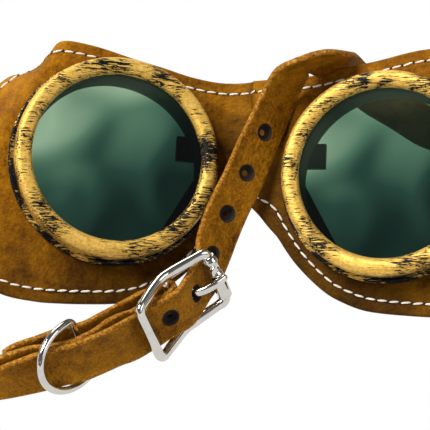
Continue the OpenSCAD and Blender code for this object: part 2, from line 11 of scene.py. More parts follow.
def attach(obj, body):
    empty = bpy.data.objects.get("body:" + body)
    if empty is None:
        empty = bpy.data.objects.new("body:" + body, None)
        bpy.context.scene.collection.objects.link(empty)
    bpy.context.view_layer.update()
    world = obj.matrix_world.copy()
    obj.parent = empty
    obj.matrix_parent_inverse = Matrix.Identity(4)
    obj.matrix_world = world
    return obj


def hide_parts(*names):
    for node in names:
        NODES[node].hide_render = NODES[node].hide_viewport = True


bl_info = {
    "name": "Leather goggles",
    "version": (1, 0, 0),
    "blender": (4, 5, 0),
    "location": "View3D > Sidebar > Goggles",
    "description": "Builds the looks of a pair of leather goggles round its fixed frame",
    "category": "Add Mesh",
}

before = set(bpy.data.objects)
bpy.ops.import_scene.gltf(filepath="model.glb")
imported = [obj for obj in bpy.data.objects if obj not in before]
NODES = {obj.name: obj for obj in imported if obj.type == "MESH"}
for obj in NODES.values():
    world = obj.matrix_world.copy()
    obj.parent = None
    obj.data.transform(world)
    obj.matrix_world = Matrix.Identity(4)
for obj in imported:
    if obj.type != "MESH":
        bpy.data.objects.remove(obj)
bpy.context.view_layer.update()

# Shapes, in millimetres
SHIFT = np.array([9.05, 5.5, 0.0])
LEFT, RIGHT = 0, 1
SIDE, DROP = (-1, 1), (-1.2, 1.2)
CUP_AT = np.array([[-37.5, 10.5, 29.7], [37.1, 0.5, 31.2]])
CUP_TURN, CUP_LEAN, CUP_ROLL = (17.1, -19.6), (44.4, 43.3), (-14.8, 11.35)
MID_U, NOSE_U, NOSE_R = 38.5, 29.5, 39.0
WING_FROM, WING_ALONG, WING_OUT = np.array([16, 34.0]), np.array([0.476, -0.879]), np.array([0.879, 0.476])
HOLE_R, LAP_V, LAYER_GAP = 26.4, -1.0, 0.15
LEATHER_T, LINING_GAP, LINING_T, LINING_IN = 2.0, 0.45, 1.0, 0.6
OUTLINE = np.array([
    [-38.5, 27.4], [-28.5, 27.2], [-20.5, 28], [-12.5, 29.8], [-4, 31.5], [4, 33.4], [10, 34.4],
    [16, 34.7], [24, 33.6], [31, 31.4], [38, 27.8], [46, 21.8], [53, 14.5], [59, 9.2], [66, 7.4],
    [71.5, 6.2], [73.8, 2.8], [74, -2], [72.2, -6.2], [66, -8.8], [60, -11.6], [53, -18], [46, -26],
    [38, -33], [28.5, -37.7], [19.3, -39.1], [12, -39.1], [6, -38.8], [-1.3, -38.2], [-6.9, -37.2],
    [-12.7, -34.9], [-16.8, -32.5], [-21.7, -28.2], [-26.2, -23.2], [-30.9, -16.2], [-34.2, -10.4],
    [-38.5, -7.2]])


def turn(axis, degrees):
    """A turning matrix about X, Y or Z."""
    return np.array(Matrix.Rotation(math.radians(degrees), 3, axis))


CUP = [turn("Z", CUP_TURN[h]) @ turn("X", 90 - CUP_LEAN[h]) @ turn("Z", CUP_ROLL[h]) for h in (LEFT, RIGHT)]


def unit(v):
    v = np.asarray(v, float)
    return v / (np.linalg.norm(v, axis=-1, keepdims=True) + 1e-12)


def ease(t):
    t = np.clip(t, 0, 1)
    return t * t * (3 - 2 * t)


def smooth(points, n):
    """A smooth curve through a list of points, n steps to each."""
    p = np.asarray(points, float)
    m = len(p) - 1
    made = []
    for i in range(m):
        a, b, c, d = p[max(i - 1, 0)], p[i], p[i + 1], p[min(i + 2, m)]
        for k in range(n):
            t = k / n
            made.append(0.5 * (2 * b + (c - a) * t + (2 * a - 5 * b + 4 * c - d) * t * t
                               + (3 * b - a - 3 * c + d) * t ** 3))
    return np.array(made + [p[m]])


def fold(s):
    """Radius, angle and place of the temple's crease: tight and past square at the top edge, looser below."""
    up, low = 1 - ease(s / 35), ease((s - 22) / 24)
    r = np.maximum(2.4, 3.6 + 0.045 * s + (0.2 + 0.135 * s) * low - 1.2 * up)
    angle = 100 - 0.5 * s - 34 * ease((s - 4) / 10) * (1 - ease((s - 26) / 20))
    return r, np.radians(angle), 0.7 * (1 - low)


def bent(p):
    """The cut leather's (u, v) brought to its bend: forward at the nose, back at the temple."""
    x, y = p[:, 0], p[:, 1]
    s = (p - WING_FROM) @ WING_ALONG
    r, angle, early = fold(s)
    q = (p - WING_FROM) @ WING_OUT + early
    a = np.minimum(np.maximum(q, 0) / r, angle)
    left = np.maximum(q, 0) - r * a
    go = r * np.sin(a) + left * np.cos(a) - early
    at = WING_FROM + s[:, None] * WING_ALONG + go[:, None] * WING_OUT
    wing = np.column_stack([at, -(r * (1 - np.cos(a)) + left * np.sin(a))])
    a = (-NOSE_U - x) / NOSE_R
    nose = np.column_stack([-NOSE_U - NOSE_R * np.sin(a), y, NOSE_R * (1 - np.cos(a))])
    flat = np.column_stack([x, y, 0 * x])
    return np.where((x < -NOSE_U)[:, None], nose, np.where((q > 0)[:, None], wing, flat))


def half(h, p):
    b = bent(p)
    return (b * [SIDE[h], 1, 1] + [0, DROP[h], 0]) @ CUP[h].T + CUP_AT[h]


def front(h, p):
    """A point of the leather's face, from its place (u, v) on the cut leather."""
    p = np.atleast_2d(np.asarray(p, float))
    mid = np.column_stack([np.full(len(p), -MID_U), p[:, 1]])
    nose_line = (half(LEFT, mid) + half(RIGHT, mid)) / 2
    k = ease((-NOSE_U - p[:, 0]) / (MID_U - NOSE_U))[:, None]
    return half(h, p) * (1 - k) + nose_line * k


def along(h, p, axis):
    step = np.array([0.2, 0]) if axis == 0 else np.array([0, 0.2])
    return unit(front(h, p + step) - front(h, p - step))


def out_of(h, p):
    """The way out of the leather at (u, v). On the nose line both halves share it."""
    p = np.atleast_2d(np.asarray(p, float))
    mine = unit(np.cross(along(h, p, 0), along(h, p, 1))) * SIDE[h]
    other = unit(np.cross(along(1 - h, p, 0), along(1 - h, p, 1))) * SIDE[1 - h]
    return np.where((p[:, 0] < -MID_U + 0.01)[:, None], unit(mine + other), mine)


# The buckle stands with X to its roller, Y up its width and Z out
BUCKLE_AT = np.array([-20.5, -30.6, 11.8])
BUCKLE = turn("Z", 46) @ turn("Y", -13.8) @ turn("X", 75.8)
LEFT_REACH, ROLLER_REACH, BAR_RISE, BUCKLE_IN, RAIL_W = 12.0, 13.3, 3.5, 14.2, 2.2


def to_buckle(p):
    return np.asarray(p, float) @ BUCKLE.T + BUCKLE_AT


def in_buckle(x, z):
    return [*to_buckle([x, -0.2, z]), *(BUCKLE @ [0, 1, 0]), 1]


def lap(h, u):
    p = np.array([[u, LAP_V]])
    return [*(front(h, p) + out_of(h, p) * (LAYER_GAP + 0.8))[0], *along(h, p, 1)[0], 1]


# Straps: middle of the strap, direction of its width, share of its full width
STRAP_W, STRAP_T, HOLE_D, PITCH = 12.0, 1.6, 4.0, 12.5
HOLE_SHIFT = (-2.5, -2.5, -2.5, -2.5, 0, -2.4)
HOLE_SIDE = [lap(RIGHT, 55), lap(RIGHT, 61.5), lap(RIGHT, 68), lap(RIGHT, 74.5),
    [107, 4, 14.4, -0.3, 0.85, 0.45, 1], [111, 10.5, 11, -0.3, 0.4, 0.85, 1],
    [112, 20, 8, -0.1, 0.1, 1, 1], [108.5, 31, 6.4, 0, 0, 1, 1], [100.5, 41.5, 6.12, 0, 0, 1, 1],
    [89.5, 49, 6.2, 0, 0, 1, 1], [77.5, 52.5, 7.5, 0, 0, 1, 1],
    [66, 52, 11, 0, 0, 1, 1], [54.7, 49, 17, 0, 0.1, 1, 1], [45, 44.5, 26, 0, 0.2, 1, 1],
    [37.5, 40.5, 33, -0.05, 0.1, 1, 1], [32.3, 36, 39.2, 0.3, 0.5, 0.75, 1],
    [28.2, 30.6, 45.6, 0.3, 0.31, 0.82, 1], [23.6, 24.4, 52.2, 0.36, -0.31, 0.88, 1],
    [18.7, 20.5, 55.8, 0.15, -0.57, 0.8, 1], [14.2, 18.7, 55.2, -0.25, -0.63, 0.73, 1],
    [10.9, 19, 52.3, -0.7, -0.47, 0.52, 1],
    [7.86, 17.81, 46, -0.72, -0.35, 0.60, 1], [4.78, 13.72, 40.15, -0.75, -0.18, 0.64, 1],
    [1.31, 7.92, 34.85, -0.85, -0.22, 0.46, 1], [-2.14, 2.0, 29.1, -0.86, -0.14, 0.48, 1],
    [-4.74, -1.86, 25.6, -0.84, -0.14, 0.51, 1], [-7.73, -7.04, 21, -0.83, -0.13, 0.54, 1],
    [-10.2, -13.4, 16.6, -0.70, -0.1, 0.70, 1],
    in_buckle(13.3, -0.3), in_buckle(9.6, 0.9), in_buckle(5.6, 2.4),
    in_buckle(0, 4.05), in_buckle(-6, 2.1), in_buckle(-12, 0.45),
    [-33.15, -44.7, 9.9, -0.30, -0.04, 0.95, 1], [-38.2, -47.9, 9.4, -0.29, -0.05, 0.95, 1],
    [-44.18, -51.65, 9.2, -0.27, -0.05, 0.96, 1], [-48.6, -53.3, 9.2, -0.26, -0.05, 0.96, 1],
    [-54.3, -55.5, 8.9, -0.2, -0.03, 0.97, 0.98], [-61, -58.0, 8.4, -0.12, 0, 0.99, 0.86],
    [-67, -60.2, 8.1, -0.06, 0, 1, 0.7], [-72, -61.9, 8, 0, 0, 1, 0.48],
    [-75.5, -63.1, 8, 0, 0, 1, 0.28], [-77.5, -63.8, 8, 0, 0, 1, 0.12]]
PRONG_STATION = 30
BUCKLE_SIDE = [lap(LEFT, 55), lap(LEFT, 61.5), lap(LEFT, 68), lap(LEFT, 74.5),
    [-107.5, 16, 13.5, 0.33, 0.85, 0.35, 1], [-113, 16.4, 10.2, 0.28, 0.6, 0.72, 1],
    [-119.5, 14, 7.7, 0.12, 0.2, 0.97, 1], [-126, 8, 6.35, 0, 0, 1, 1], [-130, -1, 6.04, 0, 0, 1, 1],
    [-131, -13, 6, 0, 0, 1, 1], [-127, -27, 6, 0, 0, 1, 1], [-117.5, -39.5, 6.04, 0, 0, 1, 1],
    [-104, -50, 6.5, 0, 0, 1, 1], [-90, -56.5, 7.2, 0, 0, 1, 1], [-77, -58.8, 8, 0, 0, 1, 1],
    [-66.1, -57.3, 8.6, -0.05, 0, 1, 1], [-59.8, -54.95, 9, -0.15, 0, 0.98, 1],
    [-54.7, -52.6, 9, -0.24, -0.03, 0.97, 1], [-49.3, -51.5, 9, -0.28, -0.05, 0.96, 1],
    [-43.9, -49.5, 9.1, -0.28, -0.05, 0.96, 1], [-39.2, -45.9, 9.2, -0.28, -0.05, 0.96, 1],
    [-35.3, -41.4, 9.1, -0.28, -0.02, 0.96, 1], in_buckle(-12, -2.9), in_buckle(-7.5, -1.0),
    in_buckle(-3.4, 1.3), in_buckle(-1, 2.0), in_buckle(1.25, 1.65), in_buckle(2.1, 0),
    in_buckle(1.25, -1.75), in_buckle(-1.2, -2.7), in_buckle(-4, -5.4),
    [-31.2, -33.4, 9.3, -0.28, 0, 0.96, 1], [-38, -39.5, 9.2, -0.28, 0, 0.96, 1],
    [-41.9, -42.7, 9.1, -0.28, 0, 0.96, 1], [-47.9, -45.3, 9, -0.26, 0, 0.96, 1],
    [-54, -48.8, 9, -0.22, 0, 0.97, 1], [-59.5, -51.9, 9, -0.16, 0, 0.98, 1],
    [-62.3, -53.4, 8.9, -0.12, 0, 0.98, 0.86]]
STRAP_STEPS = 6

RING_AT = np.array([-45.86, -49.27, 9.62])
RING_OUT, RING_UP = unit([0.574, 0.819, 0]), unit([-0.28, 0, 0.96])
RING_H, RING_BOW, RING_BACK = 18.0, 11.6, 4.3
BEZEL_R, EYE_R = 28.08, 23.3


# Meshes
def to_object(name, points, faces, materials, shade=True, uv=None, marks=None, fix=True):
    """An object at the origin from points in millimetres; uv and marks are given for each point."""
    mesh = bpy.data.meshes.new(name)
    mesh.from_pydata(((np.asarray(points) + SHIFT) * 0.001).tolist(), [], faces)
    if uv is not None:
        layer = mesh.uv_layers.new(name="flat")
        corner = np.zeros(len(mesh.loops), np.int32)
        mesh.loops.foreach_get("vertex_index", corner)
        layer.data.foreach_set("uv", (np.asarray(uv)[corner] * 0.001).astype(np.float32).ravel())
    for key, values in (marks or {}).items():
        mesh.attributes.new(key, "FLOAT", "POINT").data.foreach_set("value", np.asarray(values, np.float32))
    for m in materials:
        mesh.materials.append(m)
    bm = bmesh.new()
    bm.from_mesh(mesh)
    if fix:
        bmesh.ops.remove_doubles(bm, verts=bm.verts, dist=2e-6)
        bmesh.ops.recalc_face_normals(bm, faces=bm.faces)
    for f in bm.faces:
        f.smooth = shade
    bm.to_mesh(mesh)
    bm.free()
    obj = bpy.data.objects.new(name, mesh)
    bpy.context.scene.collection.objects.link(obj)
    return obj


def finish_piece(obj, body, slot, *nodes):
    """Applies what is left on a piece, sets what carries it, and hides the CAD nodes it stands for."""
    if obj.modifiers:
        graph = bpy.context.evaluated_depsgraph_get()
        mesh = bpy.data.meshes.new_from_object(obj.evaluated_get(graph))
        obj.modifiers.clear()
        obj.data = mesh
    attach(obj, body)
    if nodes:
        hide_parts(*nodes)
    return obj


def edge(inset, n, nose_steps):
    """The cut leather's edge, inset by a distance, then the steps up the nose line."""
    c = smooth(OUTLINE, n)
    m = len(c) - 1
    d = unit(c[2:] - c[:-2])
    e = c.copy()
    e[1:-1] += inset * np.column_stack([d[:, 1], -d[:, 0]])
    e[0] += [0, -inset]
    e[m] += [0, inset]
    span = OUTLINE[0, 1] - OUTLINE[-1, 1] - 2 * inset
    k = np.arange(1, nose_steps) / nose_steps
    return np.concatenate([e, np.column_stack([np.full(len(k), -MID_U), OUTLINE[-1, 1] + inset + span * k])])


def leather_layer(name, near, deep, inset, rings, n, nose_steps, soft, materials):
    """A layer of leather with rounded edges, both halves in one shell, from near to deep in it."""
    r0, r1, thick = 0.45 * soft, 0.13 * soft, deep - near
    lines = [edge(inset + r0, n, nose_steps), edge(inset + r1, n, nose_steps), edge(inset, n, nose_steps)]
    m = len(lines[0])
    corner = len(smooth(OUTLINE, n)) - 1
    nose = np.array([k >= corner or k == 0 for k in range(m)])
    inner = nose & (np.arange(m) != corner) & (np.arange(m) != 0)
    for line in lines[1:]:
        line[inner] = lines[0][inner]
    points, flat, rim, faces, deepest = [], [], [], [], []
    for h in (LEFT, RIGHT):
        c = np.array([0, -DROP[h]])
        e = lines[0]
        far = np.linalg.norm(e - c, axis=1)
        way = (e - c) / far[:, None]
        lean, q = way @ WING_OUT, (e - WING_FROM) @ WING_OUT
        first = -((c - WING_FROM) @ WING_OUT) / np.where(abs(lean) < 1e-6, 1e-6, lean)
        radius, angle, early = fold((c + first[:, None] * way - WING_FROM) @ WING_ALONG)
        first = first - early / np.where(abs(lean) < 1e-6, 1e-6, lean)
        bend = np.minimum(radius * angle, 0.8 * q) / np.where(abs(lean) < 1e-6, 1, lean)
        rows = []
        a, b = rings // 4, rings * 2 // 3
        for j in range(rings + 1):
            t = j / rings
            even = HOLE_R + (far - HOLE_R) * t
            if j <= a:
                held = HOLE_R + (first - HOLE_R) * j / a
            elif j <= b:
                held = first + bend * (j - a) / (b - a)
            else:
                held = first + bend + (far - first - bend) * (j - b) / (rings - b)
            r = np.where(q > 4, even + (held - even) * ease((q - 4) / 8), even)
            rows.append((c + way * r[:, None], near))
        steps = [(lines[1], near + 0.1 * soft), (lines[2], near + 0.4 * soft),
                 (lines[2], deep - 0.4 * soft), (lines[1], deep - 0.1 * soft)]
        rows += steps + [(p, deep) for p, _ in reversed(rows)]
        start = len(points) * m
        for p, d in rows:
            n_out = out_of(h, p)
            face = front(h, p)
            # the leather isn't quite flat: slow waves, held down by the collars
            away = ease((np.linalg.norm(p - c, axis=1) - 29.5) / 6) * (1 - ease((p[:, 0] - 50) / 6))
            away *= ease((p[:, 0] + MID_U) / 6)
            wave = np.array([mnoise.noise(Vector((x * 0.075 + 7 * h, y * 0.075, 3.1)))
                             + 0.4 * mnoise.noise(Vector((x * 0.2, y * 0.2 + 5 * h, 8.7))) for x, y in p])
            points.append(face + n_out * ((0.35 * wave - 0.12) * away - d)[:, None])
            flat.append(p * [SIDE[h], 1])
            close = np.min([np.linalg.norm(p - line, axis=1) for line in lines], axis=0)
            rim.append(np.where(nose, 0, np.clip(1 - close / 1.6, 0, 1)))
            deepest.append(np.full(m, (d - near) / thick))
        count = len(rows)
        for j in range(count):
            k = (j + 1) % count
            for i in range(m):
                g = (i + 1) % m
                if nose[i] and nose[g] and rings <= j < rings + 5:
                    continue
                faces.append((start + j * m + i, start + j * m + g, start + k * m + g, start + k * m + i))
    return to_object(name, np.concatenate(points), faces, materials, uv=np.concatenate(flat),
                     marks={"rim": np.concatenate(rim), "depth": np.concatenate(deepest)})


def strap_frames(p):
    """Middle, heading, out and up of each place along a smoothed strap."""
    mid = p[:, :3]
    ahead = unit(np.concatenate([mid[1:2] - mid[:1], mid[2:] - mid[:-2], mid[-1:] - mid[-2:-1]]))
    out = unit(np.cross(ahead, p[:, 3:6]))
    return mid, ahead, out, np.cross(out, ahead)


def ribbon(name, stations, materials, seed):
    """A strap with softened edges along its stations; its UV runs along and across it."""
    p = smooth(stations, STRAP_STEPS)
    mid, _, out, up = strap_frames(p)
    a, b, c = STRAP_W / 2, STRAP_T / 2, 0.42
    across = [-a + c, -a * 0.8, -a * 0.55, -a * 0.28, 0, a * 0.28, a * 0.55, a * 0.8, a - c]
    loop = [(x, -b) for x in across] + [(a - c * 0.3, -b + c * 0.3), (a, -b + c), (a, 0), (a, b - c),
            (a - c * 0.3, b - c * 0.3)] + [(x, b) for x in reversed(across)] \
        + [(-a + c * 0.3, b - c * 0.3), (-a, b - c), (-a, 0), (-a, -b + c), (-a + c * 0.3, -b + c * 0.3)]
    w, m = len(loop), len(p)
    reach = np.concatenate([[0], np.cumsum(np.linalg.norm(np.diff(mid, axis=0), axis=1))])
    points, flat, rim, deepest = [], [], [], []
    for i in range(m):
        for x, y in loop:
            s = np.array([reach[i] * 0.11, x * 0.16, seed])
            lift = 0.10 * mnoise.noise(Vector(s)) * (1 if y > 0 else 0)
            fray = 0.10 * mnoise.noise(Vector((reach[i] * 0.5, x, seed))) if abs(x) > a - 0.5 else 0
            side = up[i] * (x + math.copysign(abs(fray), -x)) * p[i, 6]
            points.append(mid[i] + side + out[i] * (y - abs(lift)))
            flat.append((reach[i], x))
            rim.append(max(0, 1 - (a - abs(x)) / 1.2))
            deepest.append(0.5 - y / STRAP_T)
    faces = [[k for k in range(w)][::-1], [(m - 1) * w + k for k in range(w)]]
    faces += [(i * w + k, i * w + (k + 1) % w, (i + 1) * w + (k + 1) % w, (i + 1) * w + k)
              for i in range(m - 1) for k in range(w)]
    obj = to_object(name, points, faces, materials, uv=flat, marks={"rim": rim, "depth": deepest})
    return obj, p, reach


def cut(obj, cutters):
    """Takes the cutters' shapes out of a piece, whose second material is for the cut walls."""
    for c in cutters:
        c.data.polygons.foreach_set("material_index", [len(obj.data.materials) - 1] * len(c.data.polygons))
        m = obj.modifiers.new("cut", "BOOLEAN")
        m.object, m.operation, m.solver = c, "DIFFERENCE", "EXACT"
        graph = bpy.context.evaluated_depsgraph_get()
        mesh = bpy.data.meshes.new_from_object(obj.evaluated_get(graph))
        obj.modifiers.clear()
        obj.data = mesh
        bpy.data.objects.remove(c)
    return obj


def lathe(name, profile, at, turned, materials, sides=48, closed=False):
    """A turned shape from a profile of (radius, height), set at a place and turned."""
    t = np.arange(sides) * 2 * math.pi / sides
    points, faces = [], []
    for r, z in profile:
        ring = np.column_stack([r * np.cos(t), r * np.sin(t), np.full(sides, z)])
        points.append(ring @ np.asarray(turned).T + at)
    count = len(profile)
    for j in range(count if closed else count - 1):
        for i in range(sides):
            faces.append((j * sides + i, j * sides + (i + 1) % sides,
                          (j + 1) % count * sides + (i + 1) % sides, (j + 1) % count * sides + i))
    if not closed:
        faces += [list(range(sides))[::-1], [(count - 1) * sides + i for i in range(sides)]]
    return to_object(name, np.concatenate(points), faces, materials)


def sweep(name, path, across, wide, thick, materials, closed=False, sides=20, square=2.0):
    """A bar along a path, wide by thick in half sizes; square 2 is an oval, and more is flatter."""
    path = np.asarray(path, float)
    m = len(path)
    if closed:
        ahead = unit(np.roll(path, -1, 0) - np.roll(path, 1, 0))
    else:
        ahead = unit(np.concatenate([path[1:2] - path[:1], path[2:] - path[:-2], path[-1:] - path[-2:-1]]))
    side = unit(np.cross(ahead, across))
    up = np.cross(side, ahead)
    t = np.arange(sides) * 2 * math.pi / sides
    ca = np.sign(np.cos(t)) * abs(np.cos(t)) ** (2 / square)
    sa = np.sign(np.sin(t)) * abs(np.sin(t)) ** (2 / square)
    wide, thick = np.broadcast_to(wide, m), np.broadcast_to(thick, m)
    points = [path[i] + side[i] * (ca * wide[i])[:, None] + up[i] * (sa * thick[i])[:, None]
              for i in range(m)]
    faces = [(i * sides + k, i * sides + (k + 1) % sides, (i + 1) % m * sides + (k + 1) % sides,
              (i + 1) % m * sides + k)
             for i in range(m if closed else m - 1) for k in range(sides)]
    if not closed:
        faces += [list(range(sides))[::-1], [(m - 1) * sides + k for k in range(sides)]]
    return to_object(name, np.concatenate(points), faces, materials)


def join(name, parts):
    """Several meshes as one piece."""
    bm = bmesh.new()
    for o in parts:
        bm.from_mesh(o.data)
    mesh = bpy.data.meshes.new(name)
    bm.to_mesh(mesh)
    bm.free()
    for m in parts[0].data.materials:
        mesh.materials.append(m)
    for o in parts:
        bpy.data.objects.remove(o)
    obj = bpy.data.objects.new(name, mesh)
    bpy.context.scene.collection.objects.link(obj)
    return obj


# Materials
def colour(text):
    """An sRGB hex value as linear RGBA."""
    parts = [int(text[i:i + 2], 16) / 255 for i in (1, 3, 5)]
    return (*[c / 12.92 if c <= 0.04045 else ((c + 0.055) / 1.055) ** 2.4 for c in parts], 1)


def feed(tree, n, sockets):
    """Fills a node's inputs, each with a value or from (node, output)."""
    for key, value in sockets.items():
        if isinstance(value, tuple) and hasattr(value[0], "outputs"):
            tree.links.new(value[0].outputs[value[1]], n.inputs[key])
        else:
            n.inputs[key].default_value = value


def add(tree, kind, sockets=None, **settings):
    """Adds a node with its settings and inputs."""
    n = tree.nodes.new(kind)
    for key, value in settings.items():
        setattr(n, key, value)
    feed(tree, n, sockets or {})
    return n


def material(name):
    """An empty material with its shader and output."""
    m = bpy.data.materials.new(name)
    m.use_nodes = True
    tree = m.node_tree
    tree.nodes.clear()
    shader = add(tree, "ShaderNodeBsdfPrincipled")
    add(tree, "ShaderNodeOutputMaterial", {"Surface": (shader, "BSDF")})
    return m, tree, shader


def ramp(tree, source, stops, output="Fac"):
    """A colour ramp of (place, hex or grey) stops."""
    r = add(tree, "ShaderNodeValToRGB", {"Fac": (source, output)})
    e = r.color_ramp.elements
    while len(e) < len(stops):
        e.new(0.5)
    for one, (at, value) in zip(e, stops):
        one.position = at
        one.color = colour(value) if isinstance(value, str) else (value, value, value, 1)
    return r


def maths(tree, kind, *values, **settings):
    """A Math node on numbers or (node, output)."""
    return add(tree, "ShaderNodeMath", dict(enumerate(values)), operation=kind, **settings)


def cloudy(tree, place, scale, detail, **more):
    """A Noise Texture, with any further inputs by their names."""
    return add(tree, "ShaderNodeTexNoise", {"Vector": place, "Scale": scale, "Detail": detail, **more})


def in_cup(tree, h):
    """Places in the frame of one eyecup, so that the look turns with it."""
    where = Matrix(CUP[h].tolist()).to_euler()
    return add(tree, "ShaderNodeMapping", {"Vector": (add(tree, "ShaderNodeTexCoord"), "Object"),
                                           "Location": tuple((CUP_AT[h] + SHIFT) * 0.001),
                                           "Rotation": tuple(where)}, vector_type="TEXTURE")


def blend_colours(tree, factor, a, b, kind="MIX"):
    """Mixes two colours by a factor, each a value or (node, output)."""
    return add(tree, "ShaderNodeMix", {0: factor, 6: a, 7: b}, data_type="RGBA", blend_type=kind)


def pull_up_leather(name, stops, edge_stops, strength=1.0, freckle=0.5, fringe=0.86, painted_shade_low=False):
    """Oiled pull-up leather: waxy, mottled, darker in its pores, with a fuzzy cut edge."""
    m, t, s = material(name)
    uv = add(t, "ShaderNodeUVMap", uv_map="flat")
    # blotches of about 14 mm, mottling of 3 mm, and grain of 0.6 mm, coarser than real so that it shows
    blotch = cloudy(t, (uv, 0), 70.0, 4.0, Roughness=0.55)
    mottle = cloudy(t, (uv, 0), 330.0, 5.0, Roughness=0.65)
    grain = cloudy(t, (uv, 0), 1400.0, 3.0, Roughness=0.7)
    wear_and_shade = add(t, "ShaderNodeMapping", {"Vector": (uv, 0), "Rotation": (0, 0, 0.35), "Scale": (60, 700, 60)})
    scuff = cloudy(t, (wear_and_shade, 0), 1.0, 3.0, Roughness=0.6)
    pits = cloudy(t, (uv, 0), 2600.0, 2.0, Roughness=0.6)
    sum1 = maths(t, "ADD", (blotch, 0), (mottle, 0))
    sum2 = maths(t, "MULTIPLY", (grain, 0), freckle)
    sum3 = maths(t, "ADD", (sum1, 0), (sum2, 0))
    level = maths(t, "MULTIPLY", (sum3, 0), 1.0 / (2 + freckle))
    base = ramp(t, level, stops, 0)
    scuffs = ramp(t, scuff, [(0.62, 0.0), (0.78, 0.3)])
    scuffed = blend_colours(t, (scuffs, 0), (base, 0), colour(stops[-1][1]), "MIX")
    rim = add(t, "ShaderNodeAttribute", attribute_name="rim", attribute_type="GEOMETRY")
    fuzz = cloudy(t, (add(t, "ShaderNodeTexCoord"), "Object"), 1500.0, 4.0, Roughness=0.7)
    cut_colour = ramp(t, fuzz, edge_stops)
    spread = maths(t, "ADD", (mottle, 0), (rim, "Fac"))
    edging = ramp(t, spread, [(fringe, 0.0), (fringe + 0.14, 1.0)], 0)
    whole = blend_colours(t, (edging, 0), (scuffed, 2), (cut_colour, 0))
    pitted = ramp(t, pits, [(0.32, 0.45), (0.5, 0.78), (0.64, 1.0)], 0)
    shaded = blend_colours(t, freckle, (whole, 2), (pitted, 0), "MULTIPLY")
    result = shaded
    if painted_shade_low:
        # painted shade: the mask darkens along its low edge and at the nose, where shade falls under the cups
        # and the strap
        up = add(t, "ShaderNodeSeparateXYZ", {0: (uv, 0)})
        across = add(t, "ShaderNodeSeparateXYZ", {0: (add(t, "ShaderNodeTexCoord"), "Object")})
        nose = maths(t, "SUBTRACT", (across, "X"), 0.009)
        beside = maths(t, "ABSOLUTE", (nose, 0))
        high = maths(t, "MULTIPLY", (blotch, 0), 0.8)
        higher = maths(t, "MULTIPLY_ADD", (up, "Y"), 10.0, (high, 0))
        lit_level = maths(t, "MULTIPLY_ADD", (beside, 0), 9.0, (higher, 0))
        shade_ramp = ramp(t, lit_level, [(0.15, 0.16), (0.35, 0.28), (0.55, 0.46), (0.78, 0.78), (1.0, 1.0)], 0)
        result = blend_colours(t, 1.0, (shaded, 2), (shade_ramp, 0), "MULTIPLY")
    rough = ramp(t, mottle, [(0.3, 0.55), (0.7, 0.78)])
    pores = add(t, "ShaderNodeTexVoronoi", {"Vector": (uv, 0), "Scale": 900.0}, feature="F1")
    dents = maths(t, "ADD", (grain, 0), (pores, "Distance"))
    low = add(t, "ShaderNodeBump", {"Height": (blotch, 0), "Distance": 0.0012, "Strength": 0.4 * strength})
    high = add(t, "ShaderNodeBump", {"Height": (dents, 0), "Distance": 0.00022, "Strength": 0.9 * strength,
                                     "Normal": (low, 0)})
    feed(t, s, {"Base Color": (result, 2), "Roughness": (rough, 0), "Specular IOR Level": 0.22,
                "Specular Tint": colour("#f2c98a"), "Normal": (high, 0)})
    return m


def rubbed_gold(name, h):
    """Gold paint dry-brushed over black enamel: satin, streaked, black in grooves, with painted shade making
    it blacker on the low side.
    """
    m, t, s = material(name)
    place = in_cup(t, h)
    # brush strokes of 4 by 0.35 mm
    lay = add(t, "ShaderNodeMapping", {"Vector": (place, 0), "Rotation": (0, 0, -0.95 if h == LEFT else -1.2),
                                       "Scale": (260, 3000, 1700)})
    stroke = cloudy(t, (lay, 0), 1.0, 4.0, Roughness=0.7, Distortion=0.4)
    patch = cloudy(t, (place, 0), 75.0, 2.0, Roughness=0.6)
    speck = cloudy(t, (place, 0), 1100.0, 3.0, Roughness=0.7)
    side = add(t, "ShaderNodeSeparateXYZ", {0: (place, 0)})
    # painted shade, 1 on the low side of the ring where shade falls, added to the real black left down in its
    # grooves; 0 on its upper face
    low_side_shade = maths(t, "MULTIPLY_ADD", (side, "Y"), -11.0, -0.02)
    deep = ramp(t, maths(t, "MULTIPLY", (side, "Z"), 100.0),
                [(0.0, 0.26), (0.2, 0.2), (0.42, 0.1), (0.62, 0.0)], 0)
    wear_and_shade = maths(t, "MULTIPLY", (low_side_shade, 0), (deep, 0))
    heavy = maths(t, "MULTIPLY_ADD", (patch, 0), 0.82, -0.18)
    both = maths(t, "ADD", (stroke, 0), (heavy, 0))
    fine = maths(t, "MULTIPLY_ADD", (speck, 0), 0.18, -0.09)
    more = maths(t, "ADD", (both, 0), (fine, 0))
    groove_black_and_shade = maths(t, "ADD", (wear_and_shade, 0), (deep, 0))
    total = maths(t, "MULTIPLY_ADD", (groove_black_and_shade, 0), 0.6, (more, 0))
    bare_and_shade = ramp(t, total, [(0.785, 0.0), (0.8, 1.0)], 0)
    gold = ramp(t, speck, [(0.3, "#c4943c"), (0.45, "#dcae4e"), (0.6, "#ebc062"), (0.75, "#f8dd95")])
    painted = blend_colours(t, (bare_and_shade, 0), (gold, 0), colour("#0a0b0d"))
    metal = maths(t, "SUBTRACT", 0.45, (bare_and_shade, 0), use_clamp=True)
    rough = ramp(t, stroke, [(0.3, 0.34), (0.7, 0.5)])
    bump = add(t, "ShaderNodeBump", {"Height": (total, 0), "Distance": 0.0004, "Strength": 0.34}, invert=True)
    feed(t, s, {"Base Color": (painted, 2), "Specular IOR Level": 0.12, "Metallic": (metal, 0),
                "Roughness": (rough, 0), "Normal": (bump, 0)})
    return m


